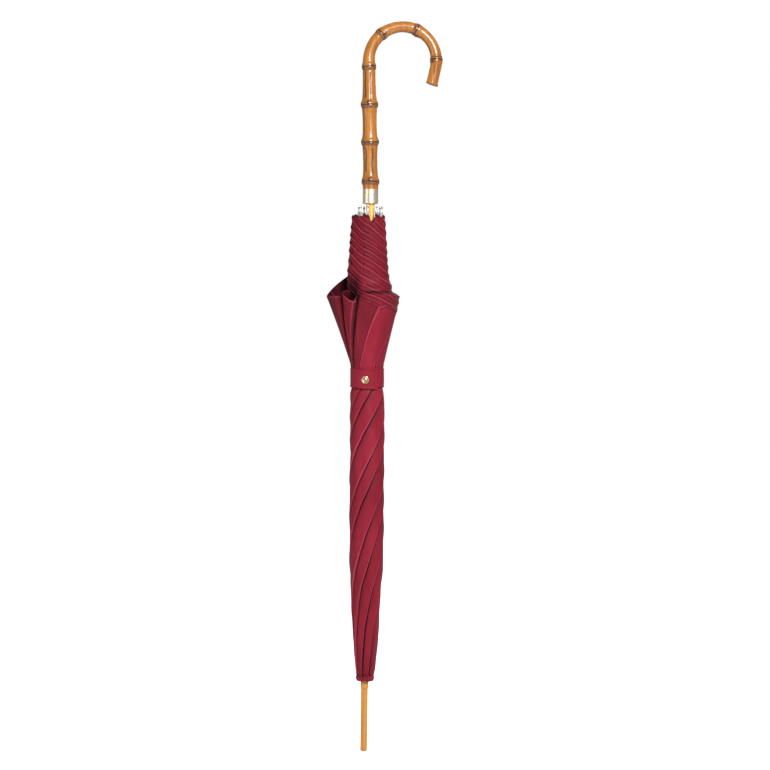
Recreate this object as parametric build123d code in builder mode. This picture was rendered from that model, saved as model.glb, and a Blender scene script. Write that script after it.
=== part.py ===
from build123d import *
import math
import os

# Stick umbrella, furled and strapped: wooden shaft, bamboo crook, steel frame, eight-gore canopy.
# Millimetres. +Z runs along the shaft towards the handle, with the origin at the end of the
# ferrule. The crook opens towards +X and the front of the umbrella faces -Y.

os.makedirs("parts", exist_ok=True)

# ---- driving dimensions ----
RIBS = 8
RIB_STEP = 360 / RIBS
FIRST_RIB = -102.0          # azimuth of rib 1, degrees from +X towards +Y

SHAFT_R = 5.0
SPIGOT_R = 3.0              # the shaft is turned down to this at both ends of the ferrule joint
GLUE_GAP = 0.03             # radial gap of a glued or pressed joint

Z_FERRULE_TOP = 77.0
Z_COLLAR_TOP = 85.0         # top of the small wooden collar above the ferrule
Z_NOTCH = 86.0              # underside of the top notch, where the full shaft starts
Z_CROWN = 92.0              # height of the rib pivots
PIVOT_R = 8.0               # distance of rib, knee and runner pivots from the shaft axis
LINK = 264.0                # crown to knee, and knee to runner
Z_KNEE = Z_CROWN + LINK
Z_RUNNER = Z_CROWN + 2 * LINK
RUNNER_TRAVEL = 2 * LINK * (1 - math.cos(math.radians(72)))

RIB_LENGTH = 568.0          # pivot to the end of the fluted steel
RIB_WIDTH = 3.4
RIB_DEPTH = 2.6
RIB_WALL = 0.6
TIP_LENGTH = 7.5            # metal tip beyond the steel
RIB_LEAN = math.degrees(math.asin(6.4 / (RIB_LENGTH + TIP_LENGTH)))
ROOT_THICK = 1.8
STRETCHER_THICK = 1.6
STRETCHER_DEPTH = 2.4
WIRE_R = 0.5

Z_HANDLE = 672.0            # lower end of the bamboo, inside the brass collar
Z_BRASS = (670.0, 687.5)
BRASS_R = 9.5
CROOK_R = 41.3              # bend radius of the crook's centre line
CROOK_CENTRE = (37.3, 846.0)
CROOK_TUBE_R = 7.4
CROOK_END = -12.0           # angle at which the bend runs out into the short straight end
CROOK_TAIL = 20.5

CLOTH_THICK = 1.3
CLOTH_OUTLINE = [           # outer radius of the furled canopy against height
    (11.0, 86.5), (14.7, 134), (17.8, 173), (20.1, 222), (20.7, 285), (20.7, 425),
    (19.6, 440), (19.6, 474), (27.5, 501), (36.0, 531), (42.5, 555), (37.0, 566),
    (31.0, 576), (25.5, 592), (21.4, 625), (19.0, 652), (17.9, 657),
]

STRAP_Z = (445.5, 468.5)
STRAP_R = 19.95
STRAP_THICK = 0.7
STRAP_LIFT = 1.35           # the free end lies this much further out than the band under it
STRAP_JOINTS = [-117.0, -57.0, 63.0, 183.0, 303.6]   # azimuths where the band's lengths meet
SNAP_AZIMUTH = -99.4

SPRING_AZIMUTH = -79.5      # both catch springs lie between ribs 1 and 2
SPRING_REACH = 33.5         # pivot to the square face of the nose
SPRING_THICK = 1.6


def azimuth(number):
    return FIRST_RIB + RIB_STEP * (number - 1)


def radial_plane(degrees, radius=0.0, height=0.0, lean=0.0):
    """A plane through the shaft axis: local x points outwards and local y up, leaning outwards."""
    turn = math.radians(degrees)
    out = Vector(math.cos(turn), math.sin(turn), 0)
    side = Vector(math.sin(turn), -math.cos(turn), 0)
    tilt = math.radians(lean)
    x_dir = out * math.cos(tilt) - Vector(0, 0, 1) * math.sin(tilt)
    origin = out * radius + Vector(0, 0, height)
    return Plane(origin=origin, x_dir=x_dir, z_dir=side)


def save(builder, name):
    builder.part.label = name
    export_step(builder.part, f"parts/{name}.step")


def link_plate(plane, ends, depth, thickness, eye_r, holes):
    """A flat bar between two pivots in a plane, with a round eye and a hole at each of its ends."""
    (x0, y0), (x1, y1) = ends
    with BuildSketch(plane) as outline:
        with Locations(((x0 + x1) / 2, (y0 + y1) / 2)):
            Rectangle(depth, abs(y1 - y0))
        for at, radius in zip(ends, eye_r):
            with Locations(at):
                Circle(radius)
    extrude(outline.sketch, amount=thickness / 2, both=True)
    with BuildSketch(plane) as eyes:
        for at, radius in zip(ends, holes):
            if radius:
                with Locations(at):
                    Circle(radius)
    extrude(eyes.sketch, amount=thickness, both=True, mode=Mode.SUBTRACT)


# ---- shaft, its pins, and the ferrule end ----
def catch_slot(z_pivot, way):
    """The slot that one catch spring sits in, cut from the shaft's surface to past its axis."""
    with BuildSketch(radial_plane(SPRING_AZIMUTH)) as slot:
        with Locations((2.4, z_pivot + way * SPRING_REACH / 2)):
            Rectangle(7.2, SPRING_REACH + 8)
    extrude(slot.sketch, amount=SPRING_THICK / 2 + 0.35, both=True, mode=Mode.SUBTRACT)


Z_OPEN_END = Z_RUNNER + 25 - RUNNER_TRAVEL      # handle end of the runner when the umbrella is open
Z_HAND_PIVOT = Z_RUNNER + 19.5 - SPRING_REACH
Z_TOP_PIVOT = Z_OPEN_END + 0.6 + SPRING_REACH
PINS = [                                        # height, azimuth, half length, radius
    (Z_NOTCH + 1.9, -79.5, 8.8, 0.8),
    (Z_RUNNER - 6 - RUNNER_TRAVEL - 1.5, 10.5, 6.9, 0.9),
]


def pins(grow=0.0, mode=Mode.ADD):
    for height, turn, half, radius in PINS:
        lie = math.radians(turn)
        across = Plane(origin=(0, 0, height), z_dir=(math.cos(lie), math.sin(lie), 0))
        with BuildSketch(across) as section:
            Circle(radius + grow)
        extrude(section.sketch, amount=half + grow, both=True, mode=mode)


with BuildPart() as shaft:
    with BuildSketch(Plane.XY.offset(Z_NOTCH)):
        Circle(SHAFT_R)
    extrude(amount=722 - Z_NOTCH)
    with BuildSketch(Plane.XY.offset(50)):
        Circle(SPIGOT_R)
    extrude(amount=Z_NOTCH - 50)
    catch_slot(Z_HAND_PIVOT, 1)
    catch_slot(Z_TOP_PIVOT, -1)
    pins(GLUE_GAP, Mode.SUBTRACT)
save(shaft, "shaft")

with BuildPart() as shaft_pins:
    pins()
save(shaft_pins, "shaft_pins")

with BuildPart() as ferrule:
    with BuildSketch(Plane.XZ):
        with BuildLine():
            Polyline(
                (0, 0), (2.9, 0), (4.15, 1.3), (4.15, 5.4), (3.95, 5.7), (3.95, 6.1), (4.15, 6.4),
                (4.15, Z_FERRULE_TOP), (SPIGOT_R + GLUE_GAP, Z_FERRULE_TOP),
                (SPIGOT_R + GLUE_GAP, 49), (0, 49), (0, 0),
            )
        make_face()
    revolve(axis=Axis.Z)
save(ferrule, "ferrule")

with BuildPart() as ferrule_collar:
    with BuildSketch(Plane.XY.offset(Z_FERRULE_TOP)):
        Circle(4.9)
        Circle(SPIGOT_R + GLUE_GAP, mode=Mode.SUBTRACT)
    extrude(amount=Z_COLLAR_TOP - Z_FERRULE_TOP)
    fillet(ferrule_collar.edges().filter_by(GeomType.CIRCLE).sort_by(SortBy.RADIUS)[-2:], 0.8)
save(ferrule_collar, "ferrule_collar")

with BuildPart() as rosette:
    with BuildSketch(Plane.XY.offset(Z_COLLAR_TOP)):
        Circle(9.0)
        Circle(SPIGOT_R + GLUE_GAP, mode=Mode.SUBTRACT)
    extrude(amount=Z_NOTCH - Z_COLLAR_TOP)
save(rosette, "rosette")


# ---- crown and runner: slotted rings with a wire that the links are threaded on ----
def link_slots(z_low, z_high, floor_r=6.2, width=2.4):
    for number in range(1, RIBS + 1):
        with BuildSketch(radial_plane(azimuth(number))) as slot:
            with Locations((floor_r + 4, (z_low + z_high) / 2)):
                Rectangle(8, z_high - z_low)
        extrude(slot.sketch, amount=width / 2, both=True, mode=Mode.SUBTRACT)


def wire_ring(height, radius, mode=Mode.ADD):
    with BuildSketch(radial_plane(0)) as section:
        with Locations((PIVOT_R, height)):
            Circle(radius)
    revolve(section.sketch, axis=Axis.Z, mode=mode)


with BuildPart() as top_notch:
    with BuildSketch(Plane.XY.offset(Z_NOTCH)):
        Circle(9.2)
        Circle(SHAFT_R + GLUE_GAP, mode=Mode.SUBTRACT)
    extrude(amount=9)
    link_slots(Z_CROWN - 2.1, Z_NOTCH + 10)
    wire_ring(Z_CROWN, WIRE_R + GLUE_GAP, Mode.SUBTRACT)
    pins(GLUE_GAP, Mode.SUBTRACT)
save(top_notch, "top_notch")

with BuildPart() as notch_wire:
    wire_ring(Z_CROWN, WIRE_R)
save(notch_wire, "notch_wire")

with BuildPart() as runner:
    with BuildSketch(Plane.XY.offset(Z_RUNNER - 6)):
        Circle(10.0)
    extrude(amount=12)
    with BuildSketch(Plane.XY.offset(Z_RUNNER + 6)):
        Circle(5.9)
    extrude(amount=16)
    with BuildSketch(Plane.XY.offset(Z_RUNNER + 22)):
        Circle(7.4)
    extrude(amount=3)
    with BuildSketch(Plane.XY.offset(Z_RUNNER - 6)):
        Circle(SHAFT_R + 0.1)
    extrude(amount=31, mode=Mode.SUBTRACT)
    link_slots(Z_RUNNER - 7, Z_RUNNER + 2.1)
    wire_ring(Z_RUNNER, WIRE_R + GLUE_GAP, Mode.SUBTRACT)
    with BuildSketch(radial_plane(SPRING_AZIMUTH)):
        with Locations((6, Z_RUNNER + 15)):
            Rectangle(5, 12)
    extrude(amount=SPRING_THICK / 2 + 0.5, both=True, mode=Mode.SUBTRACT)
save(runner, "runner")

with BuildPart() as runner_wire:
    wire_ring(Z_RUNNER, WIRE_R)
save(runner_wire, "runner_wire")


# ---- catch springs: a leaf in the shaft's slot, with a nose that stands out of it ----
def catch_spring(z_pivot, way):
    face = z_pivot + way * SPRING_REACH
    with BuildSketch(radial_plane(SPRING_AZIMUTH)) as outline:
        with Locations((3.1, z_pivot)):
            Circle(1.5)
        with BuildLine():
            Polyline(
                (1.6, z_pivot), (4.6, z_pivot), (4.6, face - way * 10), (7.2, face - way * 2.2),
                (7.2, face), (2.2, face), (1.6, z_pivot),
            )
        make_face()
    extrude(outline.sketch, amount=SPRING_THICK / 2, both=True)


with BuildPart() as hand_spring:
    catch_spring(Z_HAND_PIVOT, 1)
save(hand_spring, "hand_spring")

with BuildPart() as top_spring:
    catch_spring(Z_TOP_PIVOT, -1)
save(top_spring, "top_spring")

# ---- eight ribs with their rivets and tips, and eight stretchers ----
lean = math.radians(RIB_LEAN)
KNEE = (-LINK * math.sin(lean), LINK * math.cos(lean))   # knee pivot in a rib's own plane
CHANNEL_START = 6.0

for number in range(1, RIBS + 1):
    along = radial_plane(azimuth(number), PIVOT_R, Z_CROWN, RIB_LEAN)
    upright = radial_plane(azimuth(number))

    with BuildPart() as rib:
        with BuildSketch(along):
            with Locations((0, (CHANNEL_START + RIB_LENGTH) / 2)):
                Rectangle(RIB_DEPTH, RIB_LENGTH - CHANNEL_START)
            with Locations((KNEE[0] / 2, KNEE[1])):
                Rectangle(-KNEE[0], 3.2)
            with Locations(KNEE):
                Circle(1.6)
        extrude(amount=RIB_WIDTH / 2, both=True)
        with BuildSketch(along):
            with Locations((-RIB_WALL, (CHANNEL_START + RIB_LENGTH) / 2)):
                Rectangle(RIB_DEPTH, RIB_LENGTH - CHANNEL_START)
            with Locations((KNEE[0] - 1, KNEE[1])):
                Rectangle(-2 * KNEE[0], 6)
        extrude(amount=RIB_WIDTH / 2 - RIB_WALL, both=True, mode=Mode.SUBTRACT)
        link_plate(along, [(0, 0), (0, 14)], RIB_DEPTH, ROOT_THICK, (1.5, 1.2), (0.65, 0))
        with BuildSketch(along):
            with Locations(KNEE):
                Circle(0.55 + GLUE_GAP)
        extrude(amount=RIB_WIDTH, both=True, mode=Mode.SUBTRACT)
    save(rib, f"rib_{number}")

    with BuildPart() as knee_rivet:
        with BuildSketch(along):
            with Locations(KNEE):
                Circle(0.55)
        extrude(amount=RIB_WIDTH / 2 + 0.5, both=True)
        for side in (1, -1):
            with BuildSketch(along.offset(side * (RIB_WIDTH / 2))):
                with Locations(KNEE):
                    Circle(1.05)
            extrude(amount=side * 0.5)
    save(knee_rivet, f"knee_rivet_{number}")

    with BuildPart() as rib_tip:
        with BuildSketch(along):
            with BuildLine():
                Polyline((0, RIB_LENGTH), (1.5, RIB_LENGTH), (1.5, RIB_LENGTH + 4.2),
                         (0, RIB_LENGTH + 4.2), (0, RIB_LENGTH))
            make_face()
        revolve(axis=Axis(along.origin, along.y_dir))
        with BuildSketch(along):
            with BuildLine():
                CenterArc((0, RIB_LENGTH + 5.6), 1.9, -90, 180)
                Line((0, RIB_LENGTH + 3.7), (0, RIB_LENGTH + 7.5))
            make_face()
        revolve(axis=Axis(along.origin, along.y_dir))
        with BuildSketch(along):
            with Locations((0, RIB_LENGTH + 5.6)):
                Circle(0.6)
        extrude(amount=3, both=True, mode=Mode.SUBTRACT)
    save(rib_tip, f"rib_tip_{number}")

    with BuildPart() as stretcher:
        link_plate(upright, [(PIVOT_R, Z_KNEE), (PIVOT_R, Z_RUNNER)], STRETCHER_DEPTH,
                   STRETCHER_THICK, (1.4, 1.4), (0.62, 0.65))
    save(stretcher, f"stretcher_{number}")

# ---- furled canopy: one thin closed shell for each gore ----
GORE_GAP = 2.0              # degrees between neighbouring gores
inner = [(radius - CLOTH_THICK, height) for radius, height in CLOTH_OUTLINE]
for number in range(1, RIBS + 1):
    with BuildPart() as gore:
        with BuildSketch(radial_plane(azimuth(number) + GORE_GAP / 2)):
            with BuildLine():
                Polyline(*CLOTH_OUTLINE, *reversed(inner), CLOTH_OUTLINE[0])
            make_face()
        revolve(axis=Axis.Z, revolution_arc=RIB_STEP - GORE_GAP)
    save(gore, f"gore_{number}")


# ---- strap: four lengths of one band, and its snap ----
def band_radius(degrees):
    """Inner radius of the band: it climbs onto its own sewn end before the snap."""
    climb = (degrees - STRAP_JOINTS[3]) / (360 + STRAP_JOINTS[0] - STRAP_JOINTS[3] - 4)
    climb = min(max(climb, 0), 1)
    return STRAP_R + STRAP_LIFT * climb * climb * (3 - 2 * climb)


def band(start, stop):
    steps = max(3, round((stop - start) / 12))
    turns = [start + (stop - start) * k / steps for k in range(steps + 1)]
    sides = []
    for extra in (0, STRAP_THICK):
        sides.append([
            ((band_radius(t) + extra) * math.cos(math.radians(t)),
             (band_radius(t) + extra) * math.sin(math.radians(t)))
            for t in turns
        ])
    near, far = sides
    with BuildSketch(Plane.XY.offset(STRAP_Z[0])) as outline:
        with BuildLine():
            Spline(*near)
            Line(near[-1], far[-1])
            Spline(*far)
            Line(far[0], near[0])
        make_face()
    extrude(outline.sketch, amount=STRAP_Z[1] - STRAP_Z[0])


JOINT_GAP = 1.0             # degrees between neighbouring lengths
for name, start, stop in zip(
    ("strap_root", "strap_right", "strap_back", "strap_front"), STRAP_JOINTS, STRAP_JOINTS[1:]
):
    with BuildPart() as strap:
        band(start, stop - (JOINT_GAP if stop < STRAP_JOINTS[-1] else 0))
    save(strap, name)


def snap_plane(radius):
    turn = math.radians(SNAP_AZIMUTH)
    out = Vector(math.cos(turn), math.sin(turn), 0)
    return Plane(origin=out * radius + Vector(0, 0, sum(STRAP_Z) / 2), z_dir=out)


with BuildPart() as snap_stud:
    with BuildSketch(snap_plane(STRAP_R + 0.4)):
        Circle(2.6)
    extrude(amount=0.45)
save(snap_stud, "snap_stud")

with BuildPart() as snap_cap:
    with BuildSketch(snap_plane(STRAP_R + STRAP_LIFT + 0.35)):
        Circle(4.6)
    extrude(amount=1.7)
    fillet(snap_cap.faces().sort_by(Axis.Y)[0].edges(), 0.6)
save(snap_cap, "snap_cap")


# ---- brass collar and bamboo crook ----
with BuildPart() as collar:
    with BuildSketch(Plane.XY.offset(Z_BRASS[0])):
        Circle(BRASS_R)
    extrude(amount=Z_BRASS[1] - Z_BRASS[0])
    with BuildSketch(Plane.XY.offset(Z_HANDLE)):
        Circle(BRASS_R - 0.5)
    extrude(amount=Z_BRASS[1] - Z_HANDLE, mode=Mode.SUBTRACT)
    with BuildSketch(Plane.XY.offset(Z_BRASS[0])):
        Circle(SHAFT_R + GLUE_GAP)
    extrude(amount=Z_HANDLE - Z_BRASS[0], mode=Mode.SUBTRACT)
    fillet(collar.edges().filter_by(GeomType.CIRCLE).sort_by(Axis.Z).group_by(Axis.Z)[0]
           .sort_by(SortBy.RADIUS)[-1:], 0.4)
save(collar, "collar")

centre_x, centre_z = CROOK_CENTRE
reach = math.hypot(centre_x, centre_z - Z_BRASS[1])
rise = math.sqrt(reach**2 - CROOK_R**2)                   # straight length below the bend
stem_angle = math.atan2(centre_z - Z_BRASS[1], centre_x) + math.asin(CROOK_R / reach)
stem_dir = Vector(math.cos(stem_angle), 0, math.sin(stem_angle))
stem_plane = Plane(origin=(0, 0, Z_BRASS[1]), x_dir=(math.sin(stem_angle), 0, -math.cos(stem_angle)),
                   z_dir=(0, -1, 0))
BEND_START = 90 + math.degrees(stem_angle)
STEM_NODES = [9.5, 57.5, 103.5, 150.0]                    # distances up the stem
BEND_NODES = [129.0, 66.0, 2.0]                           # angles round the bend


def on_bend(degrees):
    turn = math.radians(degrees)
    return Plane(
        origin=(centre_x + CROOK_R * math.cos(turn), 0, centre_z + CROOK_R * math.sin(turn)),
        z_dir=(math.sin(turn), 0, -math.cos(turn)),
    )


def crook_node(plane, radius):
    """The swollen ring of a bamboo node."""
    with BuildSketch(plane.offset(-1.6)) as section:
        Circle(radius)
    extrude(section.sketch, amount=3.2)


with BuildPart() as handle:
    with BuildSketch(stem_plane):
        with BuildLine():
            Polyline((0, 0.3), (9.2, 0.3), (9.1, 60), (8.6, 105), (CROOK_TUBE_R, rise), (0, rise), (0, 0.3))
        make_face()
    revolve(axis=Axis((0, 0, Z_BRASS[1]), stem_dir))
    with BuildSketch(Plane.XY.offset(Z_HANDLE + 0.1)):
        Circle(BRASS_R - 0.6)
    extrude(amount=Z_BRASS[1] - Z_HANDLE + 0.6)
    with BuildLine():
        bend = CenterArc((0, 0), CROOK_R, BEND_START, CROOK_END - BEND_START, mode=Mode.PRIVATE)
    bend_plane = Plane(origin=(centre_x, 0, centre_z), x_dir=(1, 0, 0), z_dir=(0, -1, 0))
    with BuildSketch(on_bend(BEND_START)):
        Circle(CROOK_TUBE_R)
    sweep(path=bend_plane.from_local_coords(bend))
    with BuildSketch(on_bend(CROOK_END)):
        Circle(CROOK_TUBE_R)
    extrude(amount=CROOK_TAIL)
    for distance in STEM_NODES:
        middle = Vector(0, 0, Z_BRASS[1]) + stem_dir * distance
        crook_node(Plane(origin=middle, z_dir=stem_dir), 9.9 if distance < 120 else 8.6)
    for angle in BEND_NODES:
        crook_node(on_bend(angle), CROOK_TUBE_R + 0.9)
    with BuildSketch(Plane.XY.offset(Z_HANDLE)):
        Circle(SHAFT_R + GLUE_GAP)
    extrude(amount=51, mode=Mode.SUBTRACT)
save(handle, "handle")
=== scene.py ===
import math

import bpy
import mathutils
import numpy as np
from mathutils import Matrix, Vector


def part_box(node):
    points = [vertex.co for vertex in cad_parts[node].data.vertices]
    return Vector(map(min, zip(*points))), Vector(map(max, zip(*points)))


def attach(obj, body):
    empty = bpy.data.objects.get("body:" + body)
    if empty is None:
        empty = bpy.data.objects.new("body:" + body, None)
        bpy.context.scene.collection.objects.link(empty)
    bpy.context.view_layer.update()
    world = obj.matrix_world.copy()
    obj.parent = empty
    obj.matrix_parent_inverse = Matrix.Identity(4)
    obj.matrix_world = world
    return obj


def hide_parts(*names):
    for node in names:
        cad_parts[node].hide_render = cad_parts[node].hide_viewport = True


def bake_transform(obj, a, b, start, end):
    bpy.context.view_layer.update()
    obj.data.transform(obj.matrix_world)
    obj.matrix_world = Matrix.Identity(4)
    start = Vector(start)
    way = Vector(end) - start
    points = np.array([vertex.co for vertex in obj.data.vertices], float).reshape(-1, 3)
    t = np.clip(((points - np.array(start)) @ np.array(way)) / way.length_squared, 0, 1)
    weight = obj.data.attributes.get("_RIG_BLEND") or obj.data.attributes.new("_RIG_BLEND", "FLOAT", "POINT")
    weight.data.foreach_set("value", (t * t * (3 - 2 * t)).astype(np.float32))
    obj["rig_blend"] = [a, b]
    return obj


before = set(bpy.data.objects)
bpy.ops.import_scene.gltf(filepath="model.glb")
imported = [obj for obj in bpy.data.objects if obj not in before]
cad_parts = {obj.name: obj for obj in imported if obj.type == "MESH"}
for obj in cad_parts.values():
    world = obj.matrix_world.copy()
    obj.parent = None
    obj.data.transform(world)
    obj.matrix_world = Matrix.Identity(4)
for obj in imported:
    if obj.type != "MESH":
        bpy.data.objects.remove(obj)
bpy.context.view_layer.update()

# Looks of a furled stick umbrella. Shapes are worked out in millimetres and degrees, in the
# frame of the CAD model, and turned into metres when a mesh is made.

MM = 0.001
GORES = 8
SECTOR = 45.0                      # azimuth that one furled gore takes
FIRST_RIB = -102.0
SHOW_WIDTH = 943.0                 # width that the camera frames, in millimetres
LENS = 100.0                       # focal length and sensor width, in millimetres
SENSOR = 36.0
CAMERA_AIM = (20.6, 448.4)         # x and z of the middle of the picture
CAMERA_ROLL = 0.708                # the umbrella leans this much to the right
LAMP_AIM = (0, 0, 0.45)            # what the lamps aim at, in metres
WORLD_LIGHT = 0.34
FLOOR_REACH = 14.0                 # half the floor's width, in metres


# ---- camera, light and floor ----
def make_camera():
    """A long lens level with the middle of the umbrella, in front of it."""
    data = bpy.data.cameras.new("camera")
    data.lens = LENS
    data.sensor_width = SENSOR
    camera = bpy.data.objects.new("camera", data)
    bpy.context.scene.collection.objects.link(camera)
    distance = SHOW_WIDTH * LENS / SENSOR
    camera.location = (CAMERA_AIM[0] * MM, -distance * MM, CAMERA_AIM[1] * MM)
    camera.rotation_mode = "QUATERNION"
    turn = math.radians(CAMERA_ROLL)
    camera.rotation_quaternion = (
        mathutils.Matrix.Rotation(math.radians(90), 3, "X") @ mathutils.Matrix.Rotation(turn, 3, "Z")
    ).to_quaternion()
    bpy.context.scene.camera = camera


def area_light(name, place, target, size, watts):
    """A square lamp; place, target and size are in metres."""
    data = bpy.data.lights.new(name, "AREA")
    data.size = size
    data.energy = watts
    light = bpy.data.objects.new(name, data)
    bpy.context.scene.collection.objects.link(light)
    light.location = place
    aim = mathutils.Vector(target) - mathutils.Vector(place)
    light.rotation_mode = "QUATERNION"
    light.rotation_quaternion = aim.to_track_quat("-Z", "Y")


def make_world():
    """A dim white world for light, which looks plain white where the camera sees it directly."""
    scene = bpy.context.scene
    scene.view_settings.view_transform = "Standard"
    world = bpy.data.worlds.new("studio")
    scene.world = world
    world.use_nodes = True
    nodes, links = world.node_tree.nodes, world.node_tree.links
    background = nodes["Background"]
    background.inputs["Color"].default_value = (1, 1, 1, 1)
    background.inputs["Strength"].default_value = WORLD_LIGHT
    seen = nodes.new("ShaderNodeBackground")
    seen.inputs["Color"].default_value = (1, 1, 1, 1)
    seen.inputs["Strength"].default_value = 1.0
    path = nodes.new("ShaderNodeLightPath")
    mix = nodes.new("ShaderNodeMixShader")
    links.new(path.outputs["Is Camera Ray"], mix.inputs[0])
    links.new(background.outputs[0], mix.inputs[1])
    links.new(seen.outputs[0], mix.inputs[2])
    links.new(mix.outputs[0], nodes["World Output"].inputs["Surface"])


def make_floor():
    floor_mesh = bpy.data.meshes.new("floor")
    corners = [(-1, -1), (1, -1), (1, 1), (-1, 1)]
    points = [(x * FLOOR_REACH, y * FLOOR_REACH, 0) for x, y in corners]
    floor_mesh.from_pydata(points, [], [(0, 1, 2, 3)])
    floor = bpy.data.objects.new("floor", floor_mesh)
    bpy.context.scene.collection.objects.link(floor)
    floor_mesh.materials.append(floor_paint())


def make_studio():
    make_world()
    area_light("key", (0.55, -2.0, 1.6), LAMP_AIM, 0.6, 60)
    area_light("fill", (-1.9, -1.2, 0.5), LAMP_AIM, 0.8, 7)
    area_light("back", (0.4, 2.0, 1.6), (0, 0, 0.5), 1.4, 8)
    make_floor()


# ---- materials ----
class Paint:
    """A node material being made: a Principled shader and short ways to add nodes to it."""

    def __init__(self, name, roughness=0.5, metallic=0.0):
        self.material = bpy.data.materials.new(name)
        self.material.use_nodes = True
        self.tree = self.material.node_tree
        self.shader = self.tree.nodes["Principled BSDF"]
        self.set("Roughness", roughness)
        self.set("Metallic", metallic)
        self.place = self.node("ShaderNodeTexCoord").outputs["Object"]

    def node(self, kind, **settings):
        made = self.tree.nodes.new(kind)
        for name, value in settings.items():
            setattr(made, name, value)
        return made

    def join(self, source, target):
        self.tree.links.new(source, target)

    def set(self, name, value):
        self.shader.inputs[name].default_value = value

    def stretched(self, scale):
        mapping = self.node("ShaderNodeMapping")
        mapping.inputs["Scale"].default_value = scale
        self.join(self.place, mapping.inputs["Vector"])
        return mapping.outputs["Vector"]

    def noise(self, scale, stretch=(1, 1, 1), detail=3.0, roughness=0.5):
        made = self.node("ShaderNodeTexNoise")
        made.inputs["Scale"].default_value = scale
        made.inputs["Detail"].default_value = detail
        made.inputs["Roughness"].default_value = roughness
        self.join(self.stretched(stretch), made.inputs["Vector"])
        return made.outputs["Fac"]

    def wave(self, scale, direction):
        made = self.node("ShaderNodeTexWave", bands_direction=direction)
        made.inputs["Scale"].default_value = scale
        self.join(self.place, made.inputs["Vector"])
        return made.outputs["Fac"]

    def ramp(self, value, stops):
        made = self.node("ShaderNodeValToRGB")
        points = made.color_ramp.elements
        while len(points) < len(stops):
            points.new(0.5)
        for point, (at, colour) in zip(points, stops):
            point.position = at
            point.color = (*colour, 1)
        self.join(value, made.inputs["Fac"])
        return made.outputs["Color"]

    def mix(self, amount, first, second):
        made = self.node("ShaderNodeMix", data_type="RGBA")
        for number, value in zip((0, 6, 7), (amount, first, second)):
            socket = made.inputs[number]
            if isinstance(value, bpy.types.NodeSocket):
                self.join(value, socket)
            elif isinstance(value, tuple):
                socket.default_value = (*value, 1)
            else:
                socket.default_value = value
        return made.outputs[2]

    def math(self, operation, first, second):
        made = self.node("ShaderNodeMath", operation=operation)
        for socket, value in zip(made.inputs, (first, second)):
            if isinstance(value, bpy.types.NodeSocket):
                self.join(value, socket)
            else:
                socket.default_value = value
        return made.outputs[0]

    def attribute(self, name):
        return self.node("ShaderNodeAttribute", attribute_name=name).outputs["Fac"]

    def colour(self, socket):
        self.join(socket, self.shader.inputs["Base Color"])

    def rough(self, value, low, high):
        made = self.node("ShaderNodeMapRange")
        made.inputs["To Min"].default_value = low
        made.inputs["To Max"].default_value = high
        self.join(value, made.inputs["Value"])
        self.join(made.outputs["Result"], self.shader.inputs["Roughness"])

    def bump(self, height, depth, strength=1.0):
        made = self.node("ShaderNodeBump")
        made.inputs["Strength"].default_value = strength
        made.inputs["Distance"].default_value = depth
        self.join(height, made.inputs["Height"])
        self.join(made.outputs["Normal"], self.shader.inputs["Normal"])


def linear(value):
    """The linear share of light for an sRGB value from 0 to 255."""
    return ((value / 255 + 0.055) / 1.055) ** 2.4 if value > 10 else value / 255 / 12.92


def srgb(red, green, blue):
    """A colour given as 0 to 255 in sRGB, as the linear triple that a shader takes."""
    return linear(red), linear(green), linear(blue)


def floor_paint():
    paint = Paint("floor_white", 0.9)
    paint.colour(paint.ramp(paint.noise(2.0), [(0.0, (0.78, 0.78, 0.78)), (1.0, (0.8, 0.8, 0.8))]))
    paint.set("Emission Color", (1, 1, 1, 1))
    seen = paint.node("ShaderNodeLightPath").outputs["Is Camera Ray"]
    paint.join(seen, paint.shader.inputs["Emission Strength"])
    return paint.material


def cloth_paint(name, lift=1.0):
    """Satin polyester: crimson, finely woven, with slight mottling and a soft sheen."""
    paint = Paint(name, 0.42)
    broad = paint.noise(38, (1, 1, 0.35), 4)
    tone = paint.ramp(broad, [
        (0.25, tuple(v * lift for v in srgb(118, 20, 37))),
        (0.55, tuple(v * lift for v in srgb(143, 30, 49))),
        (0.8, tuple(v * lift for v in srgb(160, 40, 60))),
    ])
    threads = paint.math("ADD", paint.wave(1500, "Z"), paint.wave(1500, "X"))
    slub = paint.noise(900, (1, 1, 0.1), 2)
    tone = paint.mix(paint.math("MULTIPLY", slub, 0.3), tone, tuple(v * lift for v in srgb(96, 10, 26)))
    # Painted shade: the crease attribute darkens the cloth towards near black. Painted highlight: the ridge
    # attribute lightens it towards pink.
    tone = paint.mix(paint.math("MULTIPLY", paint.attribute("crease"), 0.94), tone, srgb(24, 0, 5))
    tone = paint.mix(paint.math("MULTIPLY", paint.attribute("ridge"), 0.7), tone, srgb(198, 82, 106))
    paint.colour(tone)
    paint.rough(paint.math("MAXIMUM", broad, paint.attribute("crease")), 0.3, 0.62)
    crease = paint.noise(140, (1, 1, 0.5), 5, 0.6)
    height = paint.math("ADD", paint.math("MULTIPLY", threads, 0.06), crease)
    paint.bump(height, 0.0005, 0.5)
    paint.set("Sheen Weight", 0.02)
    paint.set("Sheen Roughness", 0.4)
    paint.set("Sheen Tint", (1.0, 0.5, 0.6, 1))
    paint.set("Specular IOR Level", 0.14)
    return paint.material


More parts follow.
